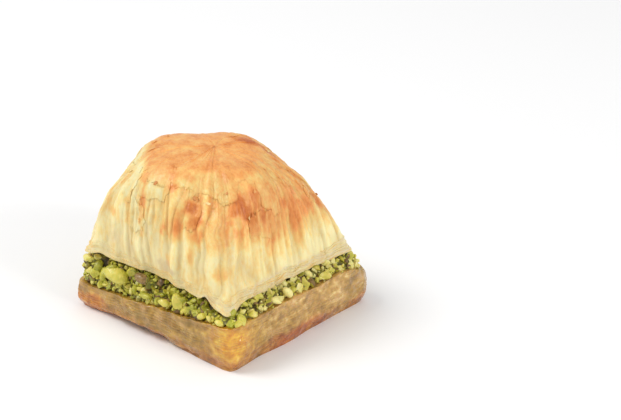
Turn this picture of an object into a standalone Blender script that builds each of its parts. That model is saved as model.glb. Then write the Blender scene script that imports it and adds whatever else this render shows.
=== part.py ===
"""One square piece of pistachio baklava, standing on its base.

Three pieces lie on each other: the syrup-soaked base of pressed pastry leaves, the layer of
chopped pistachios that runs right through, and the crown of puffed leaves that domes over it.
Metres, +Z up. The origin is the middle of the piece's footprint, on the surface it stands on.
The cut sides face X and Y.
"""

import math

import bmesh
import bpy
from mathutils import Vector, noise

# Driving dimensions.
SIDE = 0.045  # across the base, from cut side to cut side
HEIGHT = 0.0363  # from the plate to the top of the crown
HALF = SIDE / 2

# The base of pressed leaves.
BASE_TOP = 0.0072  # height of its top in the middle of the piece
BASE_SLOPE = 0.0020  # the top climbs by this much from the middle to the +X side,
BASE_DISH = 0.0008  # and lies this much higher at both X sides than it would if flat
BASE_SAG = 0.0026  # its +X+Y corner is pressed down by this much,
SAG_REACH = 0.0045  # over about this distance
BASE_BULGE = 0.0003  # the wet leaves swell out over the foot
BASE_WOBBLE = 0.010  # unevenness of the knife's cut, as a share of the distance from the middle
BASE_CORNER = 30.0  # squareness of its outline: 2 is a circle, 30 nearly a square
FOOT_ROUND = 0.0006  # how far the edge it stands on is drawn in,
CURL = 0.0025  # and how much further where the lowest leaves curl up off the plate,
CURL_PLACE = Vector((-0.006, -HALF))  # around this place in the -Y side,
CURL_REACH = 0.011  # over about this distance

# The pistachio layer.
NUT_TOP = 0.0125  # height of its top in the middle of the piece
NUT_SLOPE = 0.0006  # the top falls by this much from the middle to the +X side
NUT_ROUGH = 0.0008  # how far the chopped nuts stand out or fall back
NUT_GRAIN = 0.0021  # size of one chopped nut

# The crown of puffed leaves.
RIM_INSET = 0.0031  # how far its lower rim stands behind the base's sides
RIM_CORNER = 30.0  # squareness of its outline at the rim,
ROUND_OFF = 16.0  # and how soon it gets round above that
RIM_DROP = 0.0009  # how far the corners of the rim hang below its sides
RIM_SHIFT = Vector((-0.0006, -0.0008))  # the crown sits a little off the middle,
TOP_SHIFT = Vector((-0.0015, -0.0034))  # and leans: its top lies this much further over
LIP_REACH = 0.0024  # how far the corners of the rim stick out as pointed lips,
LIP_POINT = 5.0  # how pointed these are
WAIST = 0.0008  # how far the rim's -Y and +Y sides are drawn in between them,
LIP_RISE = 0.26  # up to this share of the way to the top
SIDE_LEAN, SIDE_RISE = 0.30, 1.02  # profile exponents over the middle of a side
RIDGE_LEAN, RIDGE_RISE = 0.44, 1.25  # and over a corner, where the crown slants in
FOLD_DEPTH = 0.0007  # depth of the folds that run down the crown
SWELL = 0.0004  # unevenness of the puffed leaves

# The pieces only touch: this gap stays between them.
GAP = 0.0003

AROUND_CROWN, AROUND_LAYER = 120, 88  # points around an outline
CROWN_RINGS = 21
CAP_SHARES = (0.93, 0.84, 0.6, 0.3)  # rings of the flat faces, as shares of the way to the edge


def unevenness(point, size, seed):
    """Smooth noise from about -1 to 1, whose lumps measure size."""
    shifted = Vector(point) / size + Vector((seed * 7.3, seed * 3.1, seed * 5.7))
    return 2 * noise.noise(shifted)


def direction(turn):
    """Unit vector from the middle to the point that lies turn (0 to 1) of the way around a square."""
    side, along = divmod(4 * (turn % 1), 1)
    angle = math.atan2(2 * along - 1, 1) + side * math.pi / 2
    return Vector((math.cos(angle), math.sin(angle)))


def outline(turn, half, squareness):
    """Point on a square with rounded corners, half as wide as the square is across."""
    way = direction(turn)
    spread = (abs(way.x) ** squareness + abs(way.y) ** squareness) ** (1 / squareness)
    return way * (half / spread)


def cornerness(turn):
    """0 at the middle of a side, 1 at a corner."""
    way = direction(turn)
    return (2 * way.x * way.y) ** 2


def nearness(point, place, reach):
    """1 at the place, falling away to nothing at about twice the reach from it."""
    return math.exp(-(((point - place).length / reach) ** 2))


def base_top(x, y):
    """Height of the surface on which the base and the pistachios meet."""
    across = x / HALF
    tilt = BASE_SLOPE * across + BASE_DISH * across**2
    sag = BASE_SAG * nearness(Vector((x, y)), Vector((HALF, HALF)), SAG_REACH)
    return BASE_TOP + tilt - sag + 0.0004 * unevenness((x, y, 0), 0.011, 1)


def nut_top(x, y):
    """Height of the surface on which the pistachios and the crown meet: its corners hang."""
    hang = (abs(x * y) / HALF**2) ** 2
    return NUT_TOP - NUT_SLOPE * x / HALF - RIM_DROP * hang + 0.0003 * unevenness((x, y, 0), 0.009, 2)


def folds(turn):
    """How far the crown's skin falls back into a fold, from 0 to about 1. Repeats after one turn."""
    waves = ((19, 0.16, 2.1), (27, 0.25, 0.8), (34, 0.15, 4.0))
    return 0.5 + sum(size * math.sin(math.tau * count * turn + phase) for count, size, phase in waves)


def crown_point(turn, rise):
    """Point on the crown's skin. rise goes from 0 at the rim to 1 at the top."""
    corner = cornerness(turn)
    lean = SIDE_LEAN + (RIDGE_LEAN - SIDE_LEAN) * corner
    climb = SIDE_RISE + (RIDGE_RISE - SIDE_RISE) * corner
    width = math.cos(rise * math.pi / 2) ** lean
    height = math.sin(rise * math.pi / 2) ** climb
    way = direction(turn)
    flat = outline(turn, HALF - RIM_INSET, 2 + (RIM_CORNER - 2) * width**ROUND_OFF)
    along = abs(2 * (4 * turn % 1) - 1)
    drawn = LIP_REACH * along**LIP_POINT - WAIST * (1 - along**2) * way.y**2
    drawn *= max(0, 1 - rise / LIP_RISE) ** 2
    fold = FOLD_DEPTH * (0.35 + 0.65 * math.sin(math.pi * min(1, rise * 1.15))) * (1 - rise**4)
    skin = flat * width + way * (drawn - fold * folds(turn)) + RIM_SHIFT + TOP_SHIFT * height
    edge = flat + way * drawn + RIM_SHIFT
    rim = nut_top(edge.x, edge.y) + GAP / 2
    point = Vector((skin.x, skin.y, rim + (HEIGHT - rim) * height))
    swell = SWELL * unevenness(point, 0.012, 3) * math.sin(math.pi * min(1, rise * 1.3) / 2)
    return point + Vector((flat.x, flat.y, HALF * height)).normalized() * swell


def disc_rings(edge, height_at, lift):
    """Rings from an edge inwards, on the surface height_at, moved up by lift."""
    rings = []
    for share in CAP_SHARES:
        inner = [Vector((p.x * share, p.y * share)) for p in edge]
        rings.append([Vector((p.x, p.y, height_at(p.x, p.y) + lift)) for p in inner])
    return rings


def material(name, colour, roughness):
    made = bpy.data.materials.new(name)
    made.use_nodes = True
    shader = made.node_tree.nodes["Principled BSDF"]
    shader.inputs["Base Color"].default_value = (*colour, 1)
    shader.inputs["Roughness"].default_value = roughness
    shader.inputs["Metallic"].default_value = 0
    made.diffuse_color = (*colour, 1)
    return made


def closed_piece(name, rings, foot, top, finish):
    """A solid through rings of points from the foot up, closed by a point at either end."""
    mesh = bmesh.new()
    loops = [[mesh.verts.new(point) for point in ring] for ring in rings]
    count = len(rings[0])
    for lower, upper in zip(loops, loops[1:]):
        for i in range(count):
            j = (i + 1) % count
            mesh.faces.new((lower[i], lower[j], upper[j], upper[i]))
    low, high = mesh.verts.new(foot), mesh.verts.new(top)
    for i in range(count):
        j = (i + 1) % count
        mesh.faces.new((loops[0][j], loops[0][i], low))
        mesh.faces.new((loops[-1][i], loops[-1][j], high))
    data = bpy.data.meshes.new(name)
    mesh.to_mesh(data)
    mesh.free()
    data.materials.append(finish)
    data.shade_smooth()
    piece = bpy.data.objects.new(name, data)
    bpy.context.scene.collection.objects.link(piece)
    return piece


def base_edge(turn, share):
    """Point on the cut side of the base, at this share of its height."""
    swollen = BASE_BULGE * (math.sin(math.pi * share) - 1)
    edge = outline(turn, HALF + swollen, BASE_CORNER)
    return edge * (1 + BASE_WOBBLE * unevenness((edge.x, edge.y, share * 0.01), 0.007, 4))


def base_pastry():
    """The pressed leaves under the filling: a slab whose wet sides swell over a rounded foot."""
    turns = [i / AROUND_LAYER for i in range(AROUND_LAYER)]
    levels = ((0, 1), (0.12, 0.5), (0.3, 0), (0.7, 0), (1, 0))
    rings = []
    for share, tuck in levels:
        ring = []
        for turn in turns:
            edge = base_edge(turn, share)
            curl = CURL * nearness(edge, CURL_PLACE, CURL_REACH)
            edge -= edge.normalized() * tuck * (FOOT_ROUND + curl)
            top = base_top(edge.x, edge.y) - GAP / 2
            ring.append(Vector((edge.x, edge.y, top * share)))
        rings.append(ring)
    rings += disc_rings(rings[-1], base_top, -GAP / 2)
    top = (0, 0, base_top(0, 0) - GAP / 2)
    finish = material("syrup_soaked_pastry", (0.45, 0.27, 0.09), 0.35)
    return closed_piece("base_pastry", rings, (0, 0, 0), top, finish)


def pistachio_filling():
    """The layer of chopped nuts, from the base's edge up to the crown's rim, rough with nuts."""
    turns = [i / AROUND_LAYER for i in range(AROUND_LAYER)]
    sides = []
    for share in (0, 0.25, 0.5, 0.75, 1):
        ring = []
        for turn in turns:
            rim = crown_point(turn, 0)
            edge = base_edge(turn, 1) * (1 - share) + Vector((rim.x, rim.y)) * share
            grain = unevenness((edge.x, edge.y, share * 0.005), NUT_GRAIN, 5)
            edge += edge.normalized() * NUT_ROUGH * grain * math.sin(math.pi * share)
            foot = base_top(edge.x, edge.y) + GAP / 2
            top = nut_top(edge.x, edge.y) - GAP / 2
            ring.append(Vector((edge.x, edge.y, foot + (top - foot) * share)))
        sides.append(ring)
    under = disc_rings(sides[0], base_top, GAP / 2)[::-1]
    over = disc_rings(sides[-1], nut_top, -GAP / 2)
    foot = (0, 0, base_top(0, 0) + GAP / 2)
    top = (0, 0, nut_top(0, 0) - GAP / 2)
    finish = material("chopped_pistachio", (0.34, 0.38, 0.06), 0.6)
    return closed_piece("pistachio_filling", under + sides + over, foot, top, finish)


def puffed_crown():
    """The puffed top leaves: a leaning dome on a square rim, with folds running down its sides."""
    turns = [i / AROUND_CROWN for i in range(AROUND_CROWN)]
    rises = [1 - (1 - i / CROWN_RINGS) ** 1.7 for i in range(CROWN_RINGS)]
    skin = [[crown_point(turn, rise) for turn in turns] for rise in rises]
    for point in skin[0]:
        point.z = nut_top(point.x, point.y) + GAP / 2
    under = disc_rings(skin[0], nut_top, GAP / 2)[::-1]
    foot = (0, 0, nut_top(0, 0) + GAP / 2)
    finish = material("baked_leaves", (0.85, 0.56, 0.25), 0.5)
    return closed_piece("puffed_crown", under + skin, foot, crown_point(0, 1), finish)


def main():
    for old in list(bpy.data.objects):
        bpy.data.objects.remove(old)
    base_pastry()
    pistachio_filling()
    puffed_crown()


main()
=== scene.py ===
"""A square piece of puffed pistachio baklava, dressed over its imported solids.

The sections follow the piece as it is built up in its tray: the soaked base, the chopped
pistachios, the puffed leaves over them, and what hangs and lies loose on those. Metres, +Z up.
"""

import itertools
import math

import bmesh
import bpy
import numpy as np
from mathutils import Matrix, Vector
from mathutils.bvhtree import BVHTree


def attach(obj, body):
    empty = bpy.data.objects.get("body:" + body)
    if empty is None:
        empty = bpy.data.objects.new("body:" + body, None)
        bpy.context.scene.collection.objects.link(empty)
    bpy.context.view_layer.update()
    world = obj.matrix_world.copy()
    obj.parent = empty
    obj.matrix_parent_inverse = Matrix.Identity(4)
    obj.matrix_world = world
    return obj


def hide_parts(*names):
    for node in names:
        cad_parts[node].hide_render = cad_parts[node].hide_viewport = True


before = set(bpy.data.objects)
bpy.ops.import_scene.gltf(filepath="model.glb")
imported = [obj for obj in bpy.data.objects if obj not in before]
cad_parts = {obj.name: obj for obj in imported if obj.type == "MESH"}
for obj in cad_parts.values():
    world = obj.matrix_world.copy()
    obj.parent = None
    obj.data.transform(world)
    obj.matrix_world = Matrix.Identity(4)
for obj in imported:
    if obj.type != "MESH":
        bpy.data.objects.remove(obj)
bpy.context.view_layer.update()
MM = 0.001

# The base: a dozen filo leaves brushed with butter, pressed flat under the filling and soaked
# with syrup after baking, then cut with a knife. Its cut sides show the edges of the leaves,
# glued together by syrup in some places and standing open in others.

BASE_AROUND, BASE_ROWS = 700, 84
LEAF = 0.55 * MM  # thickness of one soaked leaf
LEAF_RELIEF = 0.16 * MM  # how far the leaves' edges stand out
BASE_LUMPS = 0.34 * MM  # unevenness of the cut side
FOOT_CHIPS = 0.6 * MM  # depth of the chips along its lower edge
NEAR_CORNER = np.array((22, -22, 6.5)) * MM  # the top of the corner where the syrup gathered
NEAR_FOOT = np.array((22.5, -22.5, 1.2)) * MM  # the foot of the same corner
FAR_END = np.array((-19, -22.5, 2.2)) * MM  # the other end of the front, golden too


def solid_tree(node):
    """The CAD solid of a node, for rays."""
    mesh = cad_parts[node].data
    return BVHTree.FromPolygons([v.co for v in mesh.vertices], [p.vertices for p in mesh.polygons])


def direction(turn):
    """Unit vectors from the middle to points that lie turn (0 to 1) of the way around a square.

    The turn starts at the corner of +X and -Y and runs over +X, +Y and -X to the front, -Y.
    """
    side, along = np.divmod(4 * (turn % 1), 1)
    angle = np.arctan2(2 * along - 1, 1) + side * math.pi / 2
    return np.stack([np.cos(angle), np.sin(angle)], -1)


def lumps(points, size, seed):
    """Smooth noise from about -1 to 1, whose lumps measure size. It is the same in each run."""
    place = points / size + seed * np.array((17.3, 31.7, 47.9))
    cell = np.floor(place).astype(np.int64)
    inside = place - cell
    ease = inside**3 * (inside * (inside * 6 - 15) + 10)
    total = np.zeros(place.shape[:-1])
    for corner in itertools.product((0, 1), repeat=3):
        spot = (cell + corner) * (73856093, 19349663, 83492791)
        code = spot[..., 0] ^ spot[..., 1] ^ spot[..., 2]
        code = (code ^ (code >> 13)) * 1274126177
        code = (code ^ (code >> 16)) & 0x3FFFFFFF
        slope = np.stack([((code >> shift) & 1023) / 511.5 - 1 for shift in (0, 10, 20)], -1)
        weight = np.prod(np.where(corner, ease, 1 - ease), -1)
        total += weight * ((inside - corner) * slope).sum(-1)
    return 1.5 * total


def step(low, high, value):
    """0 below low, 1 above high, eased in between."""
    share = np.clip((value - low) / (high - low), 0, 1)
    return share * share * (3 - 2 * share)


def evened(field, around, across=0):
    """The field, blurred by these numbers of cells. Its first axis closes on itself."""
    doubled = np.concatenate([field, field[:, ::-1]], 1)
    for axis, width, shape in ((0, around, (-1, 1)), (1, across, (1, -1))):
        waves = np.fft.fftfreq(doubled.shape[axis])
        keep = np.exp(-2 * (math.pi * waves * width) ** 2).reshape(shape)
        doubled = np.fft.ifft(np.fft.fft(doubled, axis=axis) * keep, axis=axis).real
    return doubled[:, : field.shape[1]]


def height_under(tree, points):
    """Height of the solid's upper face at each point (x, y)."""
    return np.array([tree.ray_cast(Vector((x, y, 0.1)), Vector((0, 0, -1)))[0].z for x, y in points])


def side_reach(tree, ways, heights):
    """How far from the middle the solid's side lies along each way, at each of the heights."""
    reach = np.empty(heights.shape)
    for (i, j), height in np.ndenumerate(heights):
        way = Vector((*ways[i], 0))
        reach[i, j] = tree.ray_cast(way * 0.05 + Vector((0, 0, height)), -way)[0].xy.length
    return reach


def flat_points(ways, reach, heights):
    """Points at this distance from the middle along each way, and at these heights."""
    shape = np.broadcast_shapes(reach.shape, heights.shape)
    flat = ways[:, None, :] * np.broadcast_to(reach, shape)[..., None]
    return np.concatenate([flat, np.broadcast_to(heights, shape)[..., None]], -1)


def closed_mesh(name, bodies, **notes):
    """Closed skins in one mesh. A body is (rings of points, low pole, high pole), from its foot up.

    Each note is a list with one set of numbers for each body: (for the rings, low, high).
    """
    points, faces, start = [], [], 0
    for rings, low, high in bodies:
        levels, count = len(rings), len(rings[0])
        here = start + np.arange(count)
        after = np.roll(here, -1)
        rise = count * np.arange(levels)[:, None]
        quads = np.stack([here + rise, after + rise, after + rise + count, here + rise + count], -1)
        foot = np.stack([after, here, np.full(count, start + count * levels)], -1)
        last = count * (levels - 1)
        top = np.stack([here + last, after + last, np.full(count, start + count * levels + 1)], -1)
        points.append(np.concatenate([*rings, [low], [high]]))
        faces += quads[:-1].reshape(-1, 4).tolist() + foot.tolist() + top.tolist()
        start += count * levels + 2
    mesh = bpy.data.meshes.new(name)
    mesh.from_pydata(np.concatenate(points).tolist(), [], faces)
    mesh.shade_smooth()
    for key, parts in notes.items():
        values = [np.append(np.ravel(ring_part), ends) for ring_part, *ends in parts]
        note(mesh, key, np.concatenate(values))
    return mesh


def note(mesh, name, values, domain="POINT"):
    """Keeps one number for each point or face of the mesh, for its material."""
    mesh.attributes.new(name, "FLOAT", domain).data.foreach_set("value", np.ravel(values))


def finished(name, mesh, finish, slot, *nodes):
    """The piece of this mesh: in its finish, riding with the one body, root, for these nodes."""
    mesh.materials.clear()
    mesh.materials.append(finish)
    piece = bpy.data.objects.new(name, mesh)
    bpy.context.scene.collection.objects.link(piece)
    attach(piece, "root")
    if nodes:
        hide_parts(*nodes)
    return piece


def node(tree, kind, inputs=(), **settings):
    """A node. inputs maps its sockets' names or numbers to values or to the sockets that feed them."""
    made = tree.nodes.new(kind)
    for key, value in settings.items():
        setattr(made, key, value)
    for key, value in dict(inputs).items():
        if isinstance(value, bpy.types.NodeSocket):
            tree.links.new(value, made.inputs[key])
        else:
            made.inputs[key].default_value = value
    return made


def maths(tree, operation, *values):
    """The result of a maths node on these values or sockets."""
    return node(tree, "ShaderNodeMath", enumerate(values), operation=operation).outputs[0]


def paint(code):
    """The colour that a screen shows as this hexadecimal code, as the shader needs it."""
    parts = [int(code[i : i + 2], 16) / 255 for i in (0, 2, 4)]
    return (*[p / 12.92 if p <= 0.04045 else ((p + 0.055) / 1.055) ** 2.4 for p in parts], 1)


def colours(tree, value, stops):
    """The colour for a value from 0 to 1, between stops of (value, colour)."""
    ramp = node(tree, "ShaderNodeValToRGB", {0: value})
    elements = ramp.color_ramp.elements
    while len(elements) < len(stops):
        elements.new(0.5)
    for element, (place, code) in zip(elements, stops):
        element.position = place
        element.color = paint(code)
    return ramp.outputs[0]


def mixed(tree, share, first, second, blend="MIX"):
    """Two colours, mixed by share."""
    mix = node(tree, "ShaderNodeMix", {0: share, 6: first, 7: second}, data_type="RGBA", blend_type=blend)
    return mix.outputs[2]


def grain(tree, scale, detail=3.0, stretch=(1, 1, 1), distortion=0.0):
    """Noise on the piece's own coordinates, with this many lumps to a metre."""
    place = node(tree, "ShaderNodeTexCoord").outputs["Object"]
    turned = node(tree, "ShaderNodeMapping", {"Vector": place, "Scale": stretch}).outputs[0]
    settings = {"Vector": turned, "Scale": scale, "Detail": detail, "Distortion": distortion}
    return node(tree, "ShaderNodeTexNoise", settings).outputs[0]


def attribute(tree, name):
    return node(tree, "ShaderNodeAttribute", attribute_name=name).outputs["Fac"]


def spread(tree, value, low, high):
    """The part of a value between low and high, stretched to 0 to 1."""
    return node(tree, "ShaderNodeMapRange", {0: value, 1: low, 2: high}).outputs[0]


def bumped(tree, *layers):
    """A normal with layers of (height, distance in metres) on top of each other."""
    normal = None
    for height, distance in layers:
        bump = node(tree, "ShaderNodeBump", {"Height": height, "Distance": distance, "Strength": 1.0})
        if normal:
            tree.links.new(normal, bump.inputs["Normal"])
        normal = bump.outputs[0]
    return normal


def new_finish(name, roughness, coat, glow, glow_depth):
    """A material's tree and shader. glow is the share of light that goes through the surface."""
    made = bpy.data.materials.new(name)
    made.use_nodes = True
    shader = made.node_tree.nodes["Principled BSDF"]
    shader.inputs["Roughness"].default_value = roughness
    shader.inputs["Coat Weight"].default_value = coat
    shader.inputs["Coat Roughness"].default_value = 0.14
    shader.inputs["Subsurface Weight"].default_value = glow
    shader.inputs["Subsurface Scale"].default_value = glow_depth
    shader.inputs["Subsurface Radius"].default_value = (1.0, 0.55, 0.22)
    return made, made.node_tree, shader


base_tree = solid_tree("base_pastry")
base_ways = direction(np.arange(BASE_AROUND) / BASE_AROUND)
near_edge = base_ways * side_reach(base_tree, base_ways, np.full((BASE_AROUND, 1), 4 * MM)) * 0.985
base_brim = evened(height_under(base_tree, near_edge)[:, None], 5)
base_shares = np.linspace(0, 1, BASE_ROWS)
base_heights = base_brim * base_shares
base_reach = side_reach(base_tree, base_ways, np.clip(base_heights, 0.01 * MM, base_brim - 0.12 * MM))
base_reach = evened(base_reach, 1.5, 1)
base_side = flat_points(base_ways, base_reach, base_heights)

waver = lumps(base_side, 9 * MM, 1) * 1.1 + lumps(base_side, 3 * MM, 2) * 0.35
leaf_count = base_side[..., 2] / LEAF + waver
leaf_index = np.floor(leaf_count)
leaf_edge = np.sqrt(np.clip(1 - (2 * (leaf_count - leaf_index) - 1) ** 2, 0, 1))
leaf_place = np.stack([base_side[..., 0], base_side[..., 1], leaf_index * 0.01], -1)
leaf_proud = lumps(leaf_place, 2.6 * MM, 3)
opened = step(-0.30, 0.5, lumps(base_side * (1, 1, 2), 5 * MM, 4))
relief = LEAF_RELIEF * ((leaf_edge - 1) * (0.25 + 0.75 * opened) + 0.8 * leaf_proud * opened)
relief += BASE_LUMPS * (lumps(base_side, 3.0 * MM, 5) + 0.40 * lumps(base_side, 1.3 * MM, 6))
relief += 0.05 * MM * lumps(base_side, 0.6 * MM, 7)
chipped = step(1.6, 0.3, base_side[..., 2] / MM) * step(0.25, 0.7, lumps(base_side, 2.6 * MM, 15))
relief -= FOOT_CHIPS * chipped
relief *= step(0, 0.06, base_shares)
base_side[..., :2] += base_ways[:, None, :] * (relief - 0.06 * MM)[..., None]

base_insets = np.concatenate([np.arange(0.25, 5.1, 0.25), (7, 10, 14)]) * MM
top_flat = base_ways[:, None, :] * (base_reach[:, -1:] - base_insets)[..., None]
top_heights = height_under(base_tree, top_flat.reshape(-1, 2)).reshape(top_flat.shape[:2])
base_top = np.concatenate([top_flat, evened(top_heights, 3)[..., None]], -1)
base_top[..., 2] += 0.12 * MM * (lumps(base_top, 1.6 * MM, 8) + 0.5 * lumps(base_top, 0.7 * MM, 12) - 0.6)

# Syrup has browned the leaves that lay on the tray: along the foot of the +X side, in patches
# at the far end of the front, and golden all over the near corner.
base_skin = np.concatenate([base_side[:, :1] * (0.95, 0.95, 1), base_side, base_top], 1)
right_side = step(-4 * MM, 3 * MM, base_skin[..., 0] + base_skin[..., 1])
far_front = (1 - right_side) * step(-9 * MM, -17 * MM, base_skin[..., 0])
foot_line = base_skin[..., 2] + 1.1 * MM * lumps(base_skin, 5 * MM, 9)
foot_line += 0.5 * MM * lumps(base_skin, 1.6 * MM, 10)
along_right = base_skin[..., 1] / MM
scorched = right_side * np.exp(-(((along_right + 2) / 9) ** 2))
foot_line -= 1.6 * MM * far_front + 1.0 * MM * scorched
browned_share = 0.35 + 0.2 * right_side + 0.5 * scorched + 1.1 * far_front
browned_share += 0.7 * lumps(base_skin, 5.5 * MM, 11)
amber = step(3.3 * MM, 1.5 * MM, foot_line) * np.clip(browned_share, 0, 1)
from_corner = (base_skin - NEAR_CORNER) / (np.array((5.0, 5.5, 4.2)) * MM)
golden = 1.15 * np.exp(-(from_corner**2).sum(-1))
from_end = (base_skin - FAR_END) / (np.array((5.5, 6.0, 2.2)) * MM)
golden = np.maximum(golden, 0.40 * np.exp(-(from_end**2).sum(-1)))
golden *= 1 + 0.4 * lumps(base_skin, 2 * MM, 13)
from_foot = (base_skin - NEAR_FOOT) / (np.array((6.0, 7.0, 2.6)) * MM)
amber = np.maximum(amber, 0.75 * np.exp(-(from_foot**2).sum(-1)))
paleness = right_side * (0.4 + 0.6 * step(-13, -3, along_right) - 0.6 * step(11, 18, along_right))
inner_shape = (BASE_AROUND, len(base_insets))
strata = 0.5 + 0.5 * lumps(leaf_place, 4 * MM, 14)
strata = np.concatenate([np.full((BASE_AROUND, 1), 0.5), strata, np.full(inner_shape, 0.5)], 1)
# Painted shade: the grooves between the leaves' edges are darkened, most where the leaves stand open.
seams = (1 - leaf_edge) * (0.10 + 0.50 * opened)
seams = np.concatenate([np.zeros((BASE_AROUND, 1)), seams, np.zeros(inner_shape)], 1)
base_mesh = closed_mesh(
    "soaked_base",
    [(np.swapaxes(base_skin, 0, 1), (0, 0, 0), (0, 0, base_top[:, -1, 2].mean()))],
    amber=[(amber.T, 0, 0)],
    golden=[(np.clip(golden, 0, 1).T, 0, 0)],
    strata=[(strata.T, 0.5, 0.5)],
    seams=[(seams.T, 0, 0)],
    paleness=[(paleness.T, 0, 0)],
)

base_finish, tree, shader = new_finish("syrup_soaked_leaves", 0.36, 0.5, 0.32, 1.8 * MM)
patches = spread(tree, grain(tree, 230, 3.0, (1, 1, 2.4), 0.3), 0.32, 0.68)
blotches = spread(tree, grain(tree, 760, 4.0), 0.34, 0.66)
patches = maths(tree, "MULTIPLY_ADD", blotches, 0.48, maths(tree, "MULTIPLY", patches, 0.52))
tan = colours(tree, patches, ((0.1, "86661b"), (0.4, "a07927"), (0.65, "b48b34"), (0.9, "cba44a")))
pale_tan = colours(tree, patches, ((0.1, "966e2c"), (0.4, "b68c3e"), (0.65, "cea354"), (0.9, "eccf8c")))
tan = mixed(tree, attribute(tree, "paleness"), tan, pale_tan)
deep_tan = mixed(tree, 0.8, tan, paint("b88644"), "MULTIPLY")
dry_tan = mixed(tree, 0.45, tan, paint("e0bd78"))
leaf_tone = attribute(tree, "strata")
tan = mixed(tree, maths(tree, "MULTIPLY", spread(tree, leaf_tone, 0.55, 0.85), 0.42), tan, deep_tan)
tan = mixed(tree, maths(tree, "MULTIPLY", spread(tree, leaf_tone, 0.42, 0.20), 0.35), tan, dry_tan)
crumbly = spread(tree, grain(tree, 310, 2.0, (1, 1, 1.2), 0.5), 0.52, 0.68)
tan = mixed(tree, maths(tree, "MULTIPLY", crumbly, 0.45), tan, paint("cb9d66"))
burnt = colours(tree, patches, ((0.1, "8a4210"), (0.45, "ae5c1c"), (0.75, "c6742a"), (1.0, "e0963c")))
tan = mixed(tree, attribute(tree, "amber"), tan, burnt)
honey = colours(tree, patches, ((0.1, "c07616"), (0.45, "dc9a26"), (0.75, "ecba36"), (1.0, "f8da62")))
tan = mixed(tree, attribute(tree, "golden"), tan, honey)
# Painted shade darkens the grooves between the leaves.
seam_shaded_tan = mixed(tree, 0.8, tan, paint("9a6a2c"), "MULTIPLY")
base_colour = mixed(tree, attribute(tree, "seams"), tan, seam_shaded_tan)
tree.links.new(base_colour, shader.inputs["Base Color"])
fine = grain(tree, 2400, 3.0)
broad = grain(tree, 700, 2.0, (1, 1, 1.5))
tree.links.new(bumped(tree, (broad, 0.26 * MM), (fine, 0.06 * MM)), shader.inputs["Normal"])
wetness = spread(tree, grain(tree, 500, 2.0), 0.35, 0.65)
wetness = maths(tree, "MULTIPLY_ADD", wetness, 0.32, 0.18)
tree.links.new(wetness, shader.inputs["Roughness"])
finished("soaked_base", base_mesh, base_finish, "syrup_soaked_pastry", "base_pastry")

# The filling: pistachios chopped to bits of 1 to 4 mm and pressed between the leaves. A dark
# core of packed crumbs fills the layer, painted darker still as shade in the hollows between its
# crumbs and in the gaps between the bits, and the bits that show at the cut sides lie on it,
# most with their green cut faces outwards and a few with their brown-purple skin.

NUT_AROUND, NUT_ROWS = 520, 30
CORE_INSET = 1.35 * MM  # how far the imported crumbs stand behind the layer's side
UNDER_RIM = 1.1 * MM  # how much further back they stand just under the crown
HOLLOW_DEPTH = 2.3 * MM  # depth of the gaps between the bits

nut_tree = solid_tree("pistachio_filling")
crown_tree = solid_tree("puffed_crown")
nut_ways = direction(np.arange(NUT_AROUND) / NUT_AROUND)


def height_over(tree, points):
    """Height of the solid's lower face at each point (x, y)."""
    return np.array([tree.ray_cast(Vector((x, y, -0.1)), Vector((0, 0, 1)))[0].z for x, y in points])


def square_points(ways, half):
    """Points (x, y) on the sides of a square of this half width."""
    return ways * half / np.abs(ways).max(-1)[:, None]


nut_foot = evened(height_under(base_tree, square_points(nut_ways, 20.5 * MM))[:, None], 4)
nut_brim = evened(height_over(crown_tree, square_points(nut_ways, 17 * MM))[:, None], 4)
nut_shares = np.linspace(0.0, 1, NUT_ROWS)
nut_heights = nut_foot + (nut_brim - nut_foot) * nut_shares
nut_probe = np.clip(nut_heights, nut_foot + 0.35 * MM, nut_brim - 0.45 * MM)
nut_reach = evened(side_reach(nut_tree, nut_ways, nut_probe), 1.5, 1)
nut_side = flat_points(nut_ways, nut_reach, nut_heights)
NUT_HOLLOWS = (  # gaps between the bits under the crown: x, y and half width in mm
    (-17, -22, 1.4), (-6, -22, 0.9), (2.8, -22, 1.7), (9.5, -22, 1.0), (16.9, -22, 2.0),
    (22, -20, 1.0), (22, -13.5, 1.1), (22, 0.8, 1.4), (22, 10, 1.1),
    (9, 22, 1.4), (-8, 22, 1.2), (-22, 14, 1.3), (-22, -4, 1.5),
)


def hollow(points, shares):
    """How much further in the side lies at these places, because of the gaps between the bits."""
    depth = np.zeros(points.shape[:-1])
    for x, y, half in NUT_HOLLOWS:
        away = np.hypot(points[..., 0] / MM - x, points[..., 1] / MM - y) / (half + 1.2)
        depth += np.exp(-(away**2)) * HOLLOW_DEPTH
    return depth * step(0.30, 0.72, shares)


crumb = 1 - 2 * np.abs(lumps(nut_side, 1.7 * MM, 21))
packed = 0.55 * MM * crumb + 0.25 * MM * lumps(nut_side, 0.8 * MM, 22)
gaps = hollow(nut_side, nut_shares)
inset = CORE_INSET + UNDER_RIM * step(0.68, 0.95, nut_shares) + gaps
# Painted shade: the core's colour darkens in the hollows between its crumbs, and most in the gaps between
# the bits.
crest = (0.5 + 0.5 * crumb) * (1 - 0.85 * step(0.3, 0.9, gaps / HOLLOW_DEPTH))
core_side = flat_points(nut_ways, nut_reach - inset + packed, nut_heights)
core_mesh = closed_mesh(
    "nut_core",
    [(np.swapaxes(core_side, 0, 1), (0, 0, nut_foot.mean()), (0, 0, nut_brim.mean()))],
    crest=[(crest.T, 0, 0)],
)

core_finish, tree, shader = new_finish("packed_crumbs", 0.6, 0.1, 0.0, 1 * MM)
crumbs = spread(tree, grain(tree, 900, 4.0), 0.2, 0.75)
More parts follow.
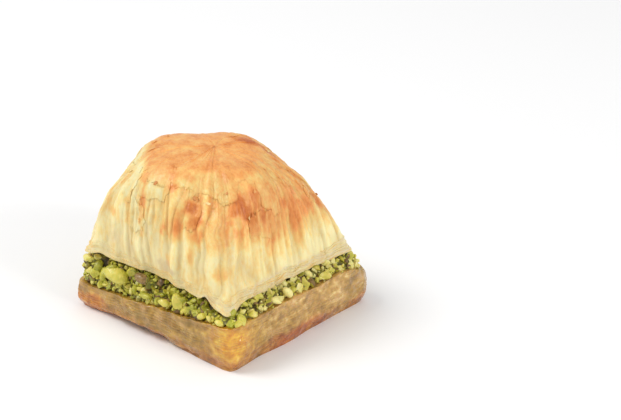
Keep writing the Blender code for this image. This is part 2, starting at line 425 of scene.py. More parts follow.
# Painted shade: the crumbs' colour darkens where the core lies in hollows and gaps.
crumbs = maths(tree, "MULTIPLY", attribute(tree, "crest"), crumbs)
crumb_stops = ((0.0, "2c2206"), (0.25, "4d4310"), (0.5, "77702a"), (0.85, "a29f48"))
tree.links.new(colours(tree, crumbs, crumb_stops), shader.inputs["Base Color"])
tree.links.new(bumped(tree, (grain(tree, 1600, 3.0), 0.3 * MM)), shader.inputs["Normal"])
finished("nut_core", core_mesh, core_finish, "chopped_pistachio", "pistachio_filling")


def nut_bit(name, seed, cuts, slim):
    """A bit of pistachio, 1 long: part of a rounded kernel with its skin, cut by flat faces."""
    chance = np.random.default_rng(seed)
    shape = bmesh.new()
    bmesh.ops.create_icosphere(shape, subdivisions=2, radius=0.5)
    bmesh.ops.scale(shape, vec=(1, slim, 0.8 * slim), verts=shape.verts)
    skin = shape.faces.layers.float.new("skin")
    for face in shape.faces:
        face[skin] = 1
    for _ in range(cuts):
        way = Vector(chance.normal(size=3)).normalized()
        reach = max(v.co.dot(way) for v in shape.verts)
        place = way * reach * chance.uniform(0.35, 0.7)
        everything = shape.verts[:] + shape.edges[:] + shape.faces[:]
        cut = bmesh.ops.bisect_plane(shape, geom=everything, plane_co=place, plane_no=way, clear_outer=True)
        edges = [item for item in cut["geom_cut"] if isinstance(item, bmesh.types.BMEdge)]
        for face in bmesh.ops.contextual_create(shape, geom=edges)["faces"]:
            face[skin] = 0
    bmesh.ops.triangulate(shape, faces=shape.faces)
    bmesh.ops.recalc_face_normals(shape, faces=shape.faces)
    swell = 1 + 0.10 * lumps(np.array([vertex.co for vertex in shape.verts]), 0.45, seed)
    for vertex, share in zip(shape.verts, swell):
        vertex.co *= share
    bit = bpy.data.meshes.new(name)
    shape.to_mesh(bit)
    shape.free()
    bit.shade_smooth()
    bit.set_sharp_from_angle(angle=math.radians(34))
    return bpy.data.objects.new(name, bit)


def strewing_tree():
    """Geometry Nodes that strew the things of a collection over a surface, each as real mesh."""
    tree = bpy.data.node_groups.new("strewn", "GeometryNodeTree")
    sockets = {
        "Surface": "Geometry",
        "Things": "Collection",
        "Finish": "Material",
        "Spacing": "Float",
        "Density": "Float",
        "Smallest": "Float",
        "Largest": "Float",
        "Lying": "Bool",
        "Seed": "Int",
    }
    for name, kind in sockets.items():
        tree.interface.new_socket(name, in_out="INPUT", socket_type="NodeSocket" + kind)
    tree.interface.new_socket("Strewn", in_out="OUTPUT", socket_type="NodeSocketGeometry")
    given = tree.nodes.new("NodeGroupInput").outputs
    even = {"Distance Min": given["Spacing"], "Density Max": given["Density"], "Seed": given["Seed"]}
    points = node(
        tree,
        "GeometryNodeDistributePointsOnFaces",
        {"Mesh": given["Surface"], **even},
        distribute_method="POISSON",
    )
    things = {"Collection": given["Things"], "Separate Children": True, "Reset Children": True}
    things = node(tree, "GeometryNodeCollectionInfo", things)
    seed = given["Seed"]
    angles = {0: (0, 0, 0), 1: (math.tau,) * 3, "Seed": seed}
    angles = node(tree, "FunctionNodeRandomValue", angles, data_type="FLOAT_VECTOR").outputs["Value"]
    tumbled = node(tree, "FunctionNodeEulerToRotation", {0: angles}).outputs[0]
    spin = node(tree, "FunctionNodeRandomValue", {2: 0.0, 3: math.tau, "Seed": seed}, data_type="FLOAT")
    spin = {"Axis": (0, 0, 1), "Angle": spin.outputs[1]}
    spin = node(tree, "FunctionNodeAxisAngleToRotation", spin).outputs[0]
    lying = {"Rotation": points.outputs["Rotation"], "Rotate By": spin}
    lying = node(tree, "FunctionNodeRotateRotation", lying, rotation_space="LOCAL").outputs[0]
    turned = {"Switch": given["Lying"], "False": tumbled, "True": lying}
    turned = node(tree, "GeometryNodeSwitch", turned, input_type="ROTATION").outputs[0]
    sizes = {2: given["Smallest"], 3: given["Largest"], "Seed": seed}
    sizes = node(tree, "FunctionNodeRandomValue", sizes, data_type="FLOAT").outputs[1]
    placed = {"Points": points.outputs["Points"], "Instance": things.outputs[0], "Pick Instance": True}
    placed = node(tree, "GeometryNodeInstanceOnPoints", {**placed, "Rotation": turned, "Scale": sizes})
    tone = node(tree, "FunctionNodeRandomValue", {2: 0.0, 3: 1.0, "Seed": 77}, data_type="FLOAT")
    toned = {"Geometry": placed.outputs[0], "Name": "tone", "Value": tone.outputs[1]}
    toned = node(tree, "GeometryNodeStoreNamedAttribute", toned, data_type="FLOAT", domain="INSTANCE")
    real = node(tree, "GeometryNodeRealizeInstances", {"Geometry": toned.outputs[0]})
    done = node(tree, "GeometryNodeSetMaterial", {"Geometry": real.outputs[0], "Material": given["Finish"]})
    tree.links.new(done.outputs[0], tree.nodes.new("NodeGroupOutput").inputs[0])
    return tree


def strewn_mesh(name, surface, group, **inputs):
    """The mesh that the strewing tree makes on a surface, with these inputs."""
    carrier = bpy.data.objects.new(name, surface)
    bpy.context.scene.collection.objects.link(carrier)
    modifier = carrier.modifiers.new("strewn", "NODES")
    modifier.node_group = group
    sockets = {item.name: item.identifier for item in group.interface.items_tree if item.in_out == "INPUT"}
    for key, value in inputs.items():
        modifier[sockets[key]] = value
    seen = carrier.evaluated_get(bpy.context.evaluated_depsgraph_get())
    mesh = bpy.data.meshes.new_from_object(seen)
    carrier.modifiers.remove(modifier)
    bpy.data.objects.remove(carrier)
    mesh.name = name
    return mesh


def open_grid(name, grid, kept=True):
    """A strip through a grid of points whose first axis closes on itself, where it is kept."""
    index = np.arange(grid[..., 0].size).reshape(grid.shape[:2])
    after = np.roll(index, -1, 0)
    quads = np.stack([index[:, :-1], after[:, :-1], after[:, 1:], index[:, 1:]], -1)
    quads = quads[np.broadcast_to(kept, quads.shape[:2])]
    strip = bpy.data.meshes.new(name)
    strip.from_pydata(grid.reshape(-1, 3).tolist(), [], quads.reshape(-1, 4).tolist())
    return strip


def nut_band(name, inset, low, high):
    """The strip of the layer's side between these shares of its height."""
    shares = np.linspace(low, high, 9)
    heights = nut_foot + (nut_brim - nut_foot) * shares
    reach = np.stack([np.interp(shares, nut_shares, line) for line in nut_reach]) - inset
    gaps = hollow(flat_points(nut_ways, reach, heights), shares)
    return open_grid(name, flat_points(nut_ways, reach - gaps, heights), gaps[:, :-1] < 0.45 * HOLLOW_DEPTH)


nut_bits = bpy.data.collections.new("nut_bits")
for number, (cuts, slim) in enumerate(((3, 0.8), (4, 0.7), (3, 0.6), (5, 0.85), (4, 0.5), (2, 0.65))):
    nut_bits.objects.link(nut_bit(f"nut_bit_{number}", 20 + number, cuts, slim))
strew = strewing_tree()

nut_finish, tree, shader = new_finish("chopped_pistachio", 0.42, 0.25, 0.15, 1.0 * MM)
blotched = spread(tree, grain(tree, 900, 3.0), 0.25, 0.75)
blotched = maths(tree, "MULTIPLY_ADD", blotched, 0.35, attribute(tree, "tone"))
place = node(tree, "ShaderNodeSeparateXYZ", {0: node(tree, "ShaderNodeTexCoord").outputs["Object"]}).outputs
dried = spread(tree, maths(tree, "ADD", place[0], place[1]), 1 * MM, 7 * MM)
blotched = maths(tree, "MULTIPLY_ADD", dried, 0.40, blotched)
green_stops = (
    (0.0, "54520e"), (0.16, "85841a"), (0.36, "a9a92e"),
    (0.6, "c6c046"), (0.8, "dcce5c"), (1.0, "eee290"),
)
green = colours(tree, maths(tree, "MULTIPLY", blotched, 0.75), green_stops)
husked = spread(tree, attribute(tree, "tone"), 0.28, 0.20)
husked = maths(tree, "MULTIPLY", attribute(tree, "skin"), husked)
husk = colours(tree, grain(tree, 1500, 3.0), ((0.35, "584018"), (0.55, "84642e"), (0.8, "ae9458")))
tree.links.new(mixed(tree, husked, green, husk), shader.inputs["Base Color"])
tree.links.new(bumped(tree, (grain(tree, 1300, 4.0), 0.32 * MM)), shader.inputs["Normal"])

# Grades of chopped nut: name, how far inside the side in mm, from and to this share of the height,
# spacing in mm, sizes in mm, seed.
NUT_GRADES = (
    ("coarse_nut_bits", 1.05, 0.14, 0.76, 2.0, (2.2, 3.5), 3),
    ("middling_nut_bits", 0.95, 0.06, 0.90, 1.15, (1.4, 2.3), 6),
    ("fine_nut_bits", 0.75, 0.03, 0.95, 0.85, (0.7, 1.2), 8),
)
for name, inset, low, high, spacing, (smallest, largest), seed in NUT_GRADES:
    graded = strewn_mesh(
        name, nut_band(name, inset * MM, low, high), strew, Things=nut_bits, Finish=nut_finish,
        Spacing=spacing * MM, Density=2.0e6, Smallest=smallest * MM, Largest=largest * MM,
        Lying=False, Seed=seed,
    )
    finished(name, graded, nut_finish, "chopped_pistachio")

# The largest bits: x and y in mm, share of the height, length in mm, tilt in degrees, tone from
# dark skin (0) to pale green (1), number of cut faces, seed.
PLACED_BITS = (
    (-11.4, -21.0, 0.64, 6.8, 12, 0.74, 1, 31),
    (-3.2, -21.3, 0.90, 4.2, 10, 0.12, 1, 32),
    (-17, -21.4, 0.40, 3.6, 25, 0.62, 3, 33),
    (6.6, -21.2, 0.55, 4.2, 70, 0.80, 3, 34),
    (3, -21.4, 0.30, 3.2, 15, 0.82, 3, 35),
    (13.5, -21.4, 0.30, 3.0, -30, 0.80, 3, 36),
    (18.4, -21.5, 0.24, 2.6, 10, 0.88, 3, 43),
    (-2, -21.5, 0.28, 2.8, 5, 0.45, 3, 37),
    (21.3, -4.0, 0.66, 3.6, 50, 1.0, 3, 38),
    (21.4, -7.6, 0.46, 3.4, 20, 0.80, 3, 44),
    (21.4, -15, 0.42, 3.2, 35, 0.55, 3, 39),
    (21.6, -19.6, 0.22, 2.6, 0, 0.70, 3, 45),
    (21.3, 8, 0.46, 3.6, 10, 0.50, 3, 40),
    (-6, 21.3, 0.45, 4.4, -15, 0.80, 3, 41),
    (-21.3, 6, 0.42, 4.0, 12, 0.15, 1, 42),
)
joined = bmesh.new()
tone_layer = joined.faces.layers.float.new("tone")
for x, y, share, length, tilt, bit_tone, cuts, seed in PLACED_BITS:
    bit = nut_bit(f"placed_bit_{seed}", seed, cuts, 0.6).data
    outward = Vector((x, y, 0)).normalized()
    nearest = int(np.argmax(nut_ways @ np.array(outward.xy)))
    height = nut_foot[nearest, 0] + (nut_brim - nut_foot)[nearest, 0] * share
    turn = Matrix.Rotation(0 if abs(y) > abs(x) else math.pi / 2, 4, "Z")
    lying = Matrix.Rotation(math.radians(tilt), 4, "Y") @ Matrix.Scale(length * MM, 4)
    bit.transform(Matrix.Translation((x * MM, y * MM, height)) @ turn @ lying)
    known = len(joined.faces)
    joined.from_mesh(bit)
    joined.faces.ensure_lookup_table()
    for face in joined.faces[known:]:
        face[tone_layer] = bit_tone
placed_mesh = bpy.data.meshes.new("placed_nut_bits")
joined.to_mesh(placed_mesh)
joined.free()
placed_mesh.shade_smooth()
placed_mesh.set_sharp_from_angle(angle=math.radians(34))
finished("placed_nut_bits", placed_mesh, nut_finish, "chopped_pistachio")

# The crown: the upper leaves, blown up by steam in the oven. They bake smooth and orange over
# the top, hang in narrow browned pleats from there, and stay pale where they meet the nuts.
# This is their one inner skin; the leaves that came loose on it follow in sections of their own.

CROWN_AROUND = 860
RIM_BAND, RIM_ROWS, CROWN_ROWS = 0.13, 26, 82  # rows lie closer in the rim band, an angle in radians
DRAPES = 0.45 * MM  # depth of the broad drapes that hang from the top
PLEATS = 0.75 * MM  # depth of the narrow pleats on them
WRINKLES = 0.13 * MM  # depth of the wrinkles on the smooth top

crown_ways = direction(np.arange(CROWN_AROUND) / CROWN_AROUND)
crown_middle = np.array((-1.2, -2.0)) * MM
rim_z = evened(height_over(crown_tree, square_points(crown_ways, 16 * MM))[:, None], 6)[:, 0] + 0.06 * MM
# Where the hem is torn back over a gap in the nuts, and in one place hangs lower: x, y, half width
# and height in mm.
RIM_NOTCHES = (
    (-17.3, -21, 1.6, 0.7), (4, -21, 1.2, 0.5), (9.8, -21, 1.3, 0.4), (16.9, -21, 1.5, 1.2),
    (20.8, -17.8, 2.5, -0.8), (21, 0.6, 1.4, 0.5), (21, 10, 1.4, 0.4),
    (9, 21, 1.5, 0.6), (-8, 21, 1.3, 0.4), (-21, 13, 1.6, 0.6),
)
for x, y, half, torn_back in RIM_NOTCHES:
    away = np.hypot(*(square_points(crown_ways, 21 * MM) / MM - (x, y)).T) / half
    rim_z += torn_back * MM * np.exp(-(away**2))
rim_slopes = np.linspace(0, RIM_BAND, RIM_ROWS, endpoint=False)
upper_slopes = np.linspace(RIM_BAND, math.pi / 2 * 0.995, CROWN_ROWS)
crown_slopes = np.concatenate([rim_slopes, upper_slopes])


def crown_ray(way, slope, height):
    """Distance of the crown's skin from its middle along this way and slope."""
    origin = Vector((*crown_middle, height))
    ray = Vector((*(way * math.cos(slope)), math.sin(slope)))
    hit = crown_tree.ray_cast(origin + ray * 0.06, -ray)[0]
    return (hit - origin).length if hit else math.nan


distance = [[crown_ray(way, slope, z) for slope in crown_slopes] for way, z in zip(crown_ways, rim_z)]
distance = np.array(distance)
for row in reversed(range(len(crown_slopes) - 1)):
    distance[:, row] = np.where(np.isnan(distance[:, row]), distance[:, row + 1], distance[:, row])
distance = evened(distance, 3.5, 1.2)
level_part = np.cos(crown_slopes)[None, :, None] * crown_ways[:, None, :]
rising_part = np.broadcast_to(np.sin(crown_slopes)[None, :, None], (*distance.shape, 1))
crown_skin = np.concatenate([level_part, rising_part], -1) * distance[..., None]
rim_middles = np.concatenate([np.broadcast_to(crown_middle, (CROWN_AROUND, 2)), rim_z[:, None]], 1)
crown_skin += rim_middles[:, None, :]


def grid_normals(grid):
    """Normals of a grid of points whose first axis closes on itself."""
    around = np.roll(grid, -1, 0) - np.roll(grid, 1, 0)
    along = np.gradient(grid, axis=1)
    normals = np.cross(around, along)
    return normals / (np.linalg.norm(normals, axis=-1, keepdims=True) + 1e-12)


# Places on the pleated skin: around by direction, upwards by height, so that a pattern runs
# down the sides and closes on itself.
above_rim = crown_skin[..., 2] - rim_z[:, None]
height_share = above_rim / (crown_skin[..., 2].max() - rim_z[:, None])
hang_way = np.broadcast_to(crown_ways[:, None, :] * 21 * MM, crown_skin[..., :2].shape)
hang = np.concatenate([hang_way, crown_skin[..., 2:] * 0.13], -1)
hang = hang + 0.9 * MM * lumps(crown_skin, 6 * MM, 30)[..., None] * (1, 1, 0)
right_face = step(-0.25, 0.45, crown_ways.sum(-1))[:, None]
hanging = step(0.95, 0.60, height_share + 0.16 * lumps(crown_skin, 7 * MM, 31))
hanging = hanging * (0.45 + 0.55 * step(0, 0.22, height_share))
drape = lumps(hang, 5.2 * MM, 32)
pleat = 2 * np.abs(lumps(hang, 2.7 * MM, 33)) ** 0.8 - 0.6
flute = 1.6 * np.abs(lumps(hang * (1, 1, 0.6), 1.5 * MM, 34)) ** 0.8 - 0.5
crinkle = lumps(crown_skin * (1, 1, 0.45), 0.8 * MM, 35) + 0.6 * lumps(crown_skin, 1.6 * MM, 38)
creases = -((1 - np.abs(lumps(crown_skin * (1, 1, 0.7), 4.2 * MM, 36))) ** 12)
folds = pleat * (0.75 - 0.25 * right_face) + flute * (0.25 + 0.35 * right_face)
fold_depth = hanging * (DRAPES * drape + PLEATS * (folds - 0.25)) + 0.07 * MM * crinkle * (0.3 + hanging)
fold_depth += WRINKLES * (1 - hanging) * (lumps(crown_skin, 2.6 * MM, 37) + 0.9 * creases)
# Along the rim the skin shows the edges of its leaves, most of all on the +X side.
rim_count = above_rim / (0.36 * MM) + 1.2 * lumps(crown_skin, 5 * MM, 39)
rim_index = np.floor(rim_count)
rim_edge = np.sqrt(np.clip(1 - (2 * (rim_count - rim_index) - 1) ** 2, 0, 1))
rim_place = np.stack([crown_skin[..., 0], crown_skin[..., 1], rim_index * 0.01], -1)
rim_proud = lumps(rim_place, 2.4 * MM, 46)
hem_height = above_rim / MM + 0.6 * lumps(crown_skin, 3 * MM, 47) - 0.7 * right_face
layered = step(2.6, 1.4, hem_height) * (0.35 + 0.65 * right_face)
fold_depth += layered * (0.16 * MM * (rim_edge - 1) + 0.22 * MM * rim_proud)
normals = grid_normals(crown_skin)
crown_skin = crown_skin + normals * (fold_depth * (0.35 + 0.65 * step(0, 0.05, height_share)))[..., None]
normals = grid_normals(crown_skin)

# Browning: even and orange on top, in spots where the folds begin, and hardly any near the rim.
BROWN_SPOTS = (  # middle (x, y, z), half width and half height in mm, how brown
    ((-4.2, -20, 28.6), 1.2, 3.8, 0.54),
    ((-5, -17.5, 33.5), 2.2, 1.4, 0.40),
    ((4.5, -15, 35), 1.4, 0.8, 0.52),
    ((7.4, -18, 30.3), 1.7, 1.4, 0.80),
    ((9.2, -18, 28.2), 1.2, 1.4, 0.58),
    ((10.8, -18.7, 25.5), 0.7, 3.8, 0.50),
    ((5.2, -20, 26), 1.5, 1.8, 0.56),
    ((2.2, -18, 33.3), 1.2, 0.9, 0.54),
    ((14.0, -10.5, 30), 2.0, 3.0, 0.70),
    ((14.2, -7, 32), 1.3, 3.2, 0.56),
    ((15.2, -9, 26.5), 1.0, 3.4, 0.60),
    ((16, -6, 27.5), 0.9, 2.4, 0.66),
    ((16.5, -2.5, 23.5), 0.7, 2.4, 0.40),
    ((16, 1.0, 28), 1.5, 1.4, 0.62),
    ((16.5, 3.2, 24), 0.8, 3.4, 0.52),
    ((16, 7, 25.5), 1.6, 2.0, 0.50),
    ((18, -10, 20), 1.2, 2.6, 0.24),
    ((17.5, -19, 19.5), 2.3, 1.6, 0.37),
    ((9.3, -20.3, 21), 0.9, 2.0, 0.30),
    ((3.2, -21, 18.5), 0.9, 2.2, 0.33),
    ((-13, -19.5, 24), 1.8, 1.0, 0.32),
    ((-9, -19.5, 27.5), 0.9, 1.2, 0.34),
)
PALE_SPOTS = (  # the same, where the leaf stayed paler than around it
    ((4.2, -19, 30.8), 1.6, 1.6, 0.16),
    ((0.5, -20.8, 23), 1.2, 2.0, 0.12),
    ((8.2, -19, 26.0), 0.9, 1.4, 0.24),
    ((14.8, -12.5, 27.6), 1.0, 1.7, 0.28),
    ((14.2, -18.5, 22.5), 2.4, 1.7, 0.18),
    ((15.5, -2.2, 27.6), 1.0, 2.1, 0.28),
    ((14, -3.5, 31), 0.9, 1.2, 0.33),
    ((-14.5, -18, 27.8), 2.4, 3.0, 0.06),
)
ridge = np.clip(0.5 + 0.5 * hanging * (pleat * 0.7 + flute * 0.6), 0, 1)
mottle = lumps(crown_skin * (1, 1, 0.7), 2.4 * MM, 41)
freckle = lumps(crown_skin, 1.1 * MM, 42)
height = crown_skin[..., 2] / MM
paler_end = step(6, -4, crown_skin[..., 0] / MM) * step(0, -8, crown_skin[..., 1] / MM)
streak = lumps(hang * (1, 1, 0.45), 1.7 * MM, 48)
top_gold = 0.47 * step(32.0, 35.8, height + 1.3 * lumps(crown_skin, 5 * MM, 43))
top_gold *= 1 + 0.16 * lumps(crown_skin * (1, 0.5, 1), 2.0 * MM, 49)
near_tip = step(8, 16, (crown_skin[..., 0] - crown_skin[..., 1]) / (2 * MM))
golden_from = height + 2.0 * right_face - 2.5 * near_tip + 3.4 * streak
golden_from += 1.6 * lumps(crown_skin, 5 * MM, 44)
side_gold = (0.28 - 0.20 * paler_end + 0.07 * right_face + 0.13 * streak) * step(18.5, 26.5, golden_from)
browned = np.maximum(top_gold, side_gold) + 0.08 * mottle + 0.06 * freckle
browned += 0.06 * near_tip * step(24, 18, height)
scattered = step(0.10, 0.55, lumps(hang * (1, 1, 2.6), 3.4 * MM, 40) + 0.25 * freckle)
at_folds = step(0.36, 0.52, height_share) * step(0.86, 0.70, height_share)
hidden_sides = step(0.15, -0.25, crown_ways @ np.array((0.7, -0.7)))[:, None]
browned += 0.38 * scattered * at_folds * (0.35 + 0.65 * hidden_sides)


def spot(middle, half_width, half_height):
    """1 inside a ragged spot on the crown's skin and 0 outside it. Sizes and places in mm."""
    apart = crown_skin / MM - middle
    away = np.hypot(np.hypot(apart[..., 0], apart[..., 1]) / half_width, apart[..., 2] / half_height)
    return step(1.4, 0.4, away + 0.55 * mottle + 0.4 * freckle)


for *place, brown in BROWN_SPOTS:
    share = np.clip(spot(*place) * (0.50 + 0.75 * ridge), 0, 1)
    browned += np.clip(brown - browned, 0, 1) * share
for *place, pale in PALE_SPOTS:
    browned -= np.clip(browned - pale, 0, 1) * spot(*place)
behind_top = (crown_skin[..., 1] - 0.62 * crown_skin[..., 0]) / MM + 1.2 * mottle
behind_top = np.exp(-(((behind_top - 5.0) / 1.5) ** 2)) * step(0.74, 0.90, height_share)
browned += 0.28 * behind_top * step(-3, 1, crown_skin[..., 0] / MM)
browned = np.clip(browned, 0, 1)
# Painted shade: the colour darkens in the valleys of the hanging pleats.
deep = np.clip(1.2 - 1.6 * ridge, 0, 1) * step(0, 0.15, hanging)
# Darker, greyer patches on the hem, which also go into the painted shade. The two at the front left, at x
# -13 and -8 mm, are painted shade of its pleats.
DARK_HEM_PATCHES = (  # the same, for darker and greyer patches on the hem, and how much
    ((14.5, -20, 13.6), 2.0, 0.9, 1.0),
    ((-13, -20.5, 18.2), 2.4, 1.6, 0.55),
    ((-8, -20.5, 17.6), 1.3, 1.6, 0.5),
    ((2.5, -20.5, 16.3), 2.6, 1.6, 0.9),
    ((19.5, -14, 14.2), 1.8, 0.9, 0.6),
)
greyed = layered * np.clip(0.10 + 0.30 * right_face + 1.1 * rim_proud + 0.6 * (1 - rim_edge), 0, 1)
for *place, much in DARK_HEM_PATCHES:
    hem_patch = much * spot(*place)
    deep = np.maximum(deep, hem_patch)
    greyed = np.maximum(greyed, 0.5 * hem_patch)

under_shares = np.array((0.3, 0.6, 0.8, 0.9, 0.96))[:, None, None]
rim_ring = crown_skin[:, 0]
crown_centre = np.concatenate([np.broadcast_to(crown_middle, (CROWN_AROUND, 2)), rim_ring[:, 2:]], 1)
crown_under = crown_centre + (rim_ring - crown_centre) * under_shares
under_zeros = np.zeros((len(under_shares), CROWN_AROUND))
crown_mesh = closed_mesh(
    "puffed_crown_skin",
    [
        (
            np.concatenate([crown_under, np.swapaxes(crown_skin, 0, 1)]),
            (*crown_middle, rim_z.mean()),
            crown_skin[:, -1].mean(0),
        )
    ],
    browned=[(np.concatenate([under_zeros + 0.1, browned.T]), 0, browned[:, -1].mean())],
    # Painted shade: the crown's underside over the nuts is darkened.
    deep=[(np.concatenate([under_zeros + 0.8, deep.T]), 0, 0)],
    greyed=[(np.concatenate([under_zeros, greyed.T]), 0, 0)],
)


def leaf_finish(name, glow):
    """Baked filo, from cream through gold to brown as the attribute 'browned' says."""
    made, tree, shader = new_finish(name, 0.45, 0.10, glow, 1.0 * MM)
    mottle = spread(tree, grain(tree, 480, 4.0, (1, 1, 0.5), 0.4), 0.3, 0.7)
    speckle = spread(tree, grain(tree, 2000, 3.0, (1, 1, 0.4)), 0.3, 0.7)
    level = maths(tree, "MULTIPLY_ADD", mottle, 0.13, attribute(tree, "browned"))
    level = maths(tree, "MULTIPLY_ADD", speckle, 0.12, level)
    level = maths(tree, "SUBTRACT", level, 0.125)
    stops = (
        (0.0, "f6eab0"), (0.12, "f7de94"), (0.24, "f6cc7a"), (0.36, "f4b868"),
        (0.48, "f0a154"), (0.62, "dd8234"), (0.78, "bf6020"), (1.0, "84441a"),
    )
    baked = colours(tree, level, stops)
    # Painted shade: darker in the folds, under the crown and in the dark patches on the hem.
    shaded = mixed(tree, 0.62, baked, paint("b58a48"), "MULTIPLY")
    baked = mixed(tree, maths(tree, "MULTIPLY", attribute(tree, "deep"), 0.8), baked, shaded)
    baked = mixed(tree, maths(tree, "MULTIPLY", attribute(tree, "greyed"), 0.8), baked, paint("dccbaa"))
    tree.links.new(baked, shader.inputs["Base Color"])
    fibres = grain(tree, 1500, 3.0, (1, 1, 0.3))
    blisters = grain(tree, 3200, 2.0)
    tree.links.new(bumped(tree, (fibres, 0.20 * MM), (blisters, 0.09 * MM)), shader.inputs["Normal"])
    return made


crown_finish = leaf_finish("baked_leaves", 0.16)
finished("puffed_crown_skin", crown_mesh, crown_finish, "baked_leaves", "puffed_crown")

# The loose leaves: thin sheets of the same filo that came away from the skin below them. One
# lies over the whole top and ends in a torn edge; smaller ones overlap each other down the
# sides. Each follows the pleats under it, and its edge lifts and bakes a little darker.

LEAF_SHEET = 0.06 * MM  # thickness of one dry leaf
TOP_LEAF_AROUND, TOP_LEAF_RINGS = 640, 34
SIDE_LEAVES, SIDE_LEAF_AROUND, SIDE_LEAF_RINGS = 26, 84, 13
RIM_TO_TOP = 34 * MM  # length over the skin from the rim to the top
ROW_SHARES = crown_slopes / crown_slopes[-1]


def on_skin(field, turn, share):
    """The field's value on the crown's skin, this far around (0 to 1) and upwards (0 to 1)."""
    across = (turn % 1) * CROWN_AROUND
    up = np.clip(np.interp(share, ROW_SHARES, np.arange(len(ROW_SHARES))), 0, len(ROW_SHARES) - 1.001)
    i, j = np.floor(across).astype(int), np.floor(up).astype(int)
    s, t = across - i, up - j
    if field.ndim == 3:
        s, t = s[..., None], t[..., None]
    i, after = i % CROWN_AROUND, (i + 1) % CROWN_AROUND
    low = field[i, j] * (1 - s) + field[after, j] * s
    high = field[i, j + 1] * (1 - s) + field[after, j + 1] * s
    return low * (1 - t) + high * t


def leaf_body(turn, share, from_edge, lift, lighter, seed):
    """A thin leaf over the skin, as a body and its notes. Its rings run from the edge inwards."""
    skin = on_skin(crown_skin, turn, share)
    out = on_skin(normals, turn, share)
    ragged = 0.5 + 0.5 * lumps(skin, 2.2 * MM, seed)
    curl = np.exp(-from_edge / (0.9 * MM)) * np.clip(2.4 * ragged - 1.2, 0, 1)
    raised = 0.03 * MM + lift * curl + 0.04 * MM * lumps(skin, 1.1 * MM, seed + 1)
    inner = skin + out * np.maximum(raised, 0)[..., None]
    outer = inner + out * LEAF_SHEET
    brown = on_skin(browned, turn, share) - lighter + 0.06 * np.exp(-from_edge / (0.40 * MM)) * ragged
    brown = np.clip(brown + 0.05 * lumps(skin, 1.8 * MM, seed + 2), 0, 1)
    # The loose leaves take part of the painted shade of the skin under them.
    shade = 0.6 * on_skin(deep, turn, share)
    grey = on_skin(greyed, turn, share)
    body = (np.concatenate([inner[::-1], outer]), inner[-1].mean(0), outer[-1].mean(0))
    notes = []
    for part in (brown, shade, grey):
        notes.append((np.concatenate([part[::-1], part]), part[-1].mean(), part[-1].mean()))
    return body, notes


def leaves_piece(name, leaves, finish):
    """One piece of several leaves."""
    bodies, notes = zip(*leaves)
    brown, shade, grey = zip(*notes)
    mesh = closed_mesh(name, bodies, browned=brown, deep=shade, greyed=grey)
    return finished(name, mesh, finish, "baked_leaves")


loose_finish = leaf_finish("loose_leaves", 0.10)
top_turns = np.arange(TOP_LEAF_AROUND) / TOP_LEAF_AROUND
torn = np.concatenate([direction(top_turns), np.zeros((TOP_LEAF_AROUND, 1))], 1) * 20 * MM
torn_edge = 0.60 + 0.07 * lumps(torn, 7 * MM, 50) + 0.05 * lumps(torn, 2.4 * MM, 51)
torn_edge += 0.02 * lumps(torn, 0.9 * MM, 52)
ring_shares = np.linspace(0, 1, TOP_LEAF_RINGS)[:, None] ** 1.5
top_shares = torn_edge + (0.985 - torn_edge) * ring_shares
top_turn_grid = np.broadcast_to(top_turns, top_shares.shape)
from_edge = (top_shares - torn_edge) * RIM_TO_TOP
top_leaf = leaf_body(top_turn_grid, top_shares, from_edge, 0.05 * MM, 0.0, 53)
leaves_piece("top_leaf", [top_leaf], loose_finish)


def torn_leaf(turn, share, width, height, seed):
    """A torn leaf of this width and height in metres, around this place on the skin."""
    angles = np.arange(SIDE_LEAF_AROUND) / SIDE_LEAF_AROUND * math.tau
    round_place = np.stack([np.cos(angles), np.sin(angles), np.zeros(SIDE_LEAF_AROUND)], -1)
    square = (np.abs(np.cos(angles)) ** 4 + np.abs(np.sin(angles)) ** 4) ** -0.25
    outline = 1 + 0.36 * lumps(round_place, 0.8, seed) + 0.20 * lumps(round_place, 0.3, seed + 3)
    outline = square * (outline + 0.10 * lumps(round_place, 0.12, seed + 5))
    shrink = np.linspace(1, 0.08, SIDE_LEAF_RINGS)[:, None]
    across = shrink * outline * np.cos(angles) * width / 2
    upward = shrink * outline * np.sin(angles) * height / 2
    reach = 8 * np.interp(share, (0, 0.5, 1), (18.5, 15, 6)) * MM
    from_edge = np.broadcast_to((1 - shrink) * min(width, height) / 2, across.shape)
    spot_turn, spot_share = turn + across / reach, share + upward / RIM_TO_TOP
    lighter = 0.14 * lumps(np.array([(seed * 1.37, 0.5, 0.2)]), 1.0, seed)[0] + 0.02
    return leaf_body(spot_turn, spot_share, from_edge, 0.15 * MM, lighter, seed)


chance = np.random.default_rng(5)
side_leaves = []
for number in range(SIDE_LEAVES):
    turn = (number * 0.618034 + chance.uniform(-0.02, 0.02)) % 1
    share = chance.uniform(0.30, 0.72)
    width, height = chance.uniform(2.4, 6.4) * MM, chance.uniform(4.5, 10.5) * MM
    side_leaves.append(torn_leaf(turn, share, width, height, 60 + 4 * number))
leaves_piece("side_leaves", side_leaves, loose_finish)

# The rim: where the crown was cut, the edges of its lowest leaves stand out between the skin
# and the nuts as thin wavy strips, furthest on the +X side, and bleached and dry in patches.

RIM_LEAVES = 6
RIM_PITCH = 0.40 * MM  # from one leaf to the next
RIM_AROUND = 700

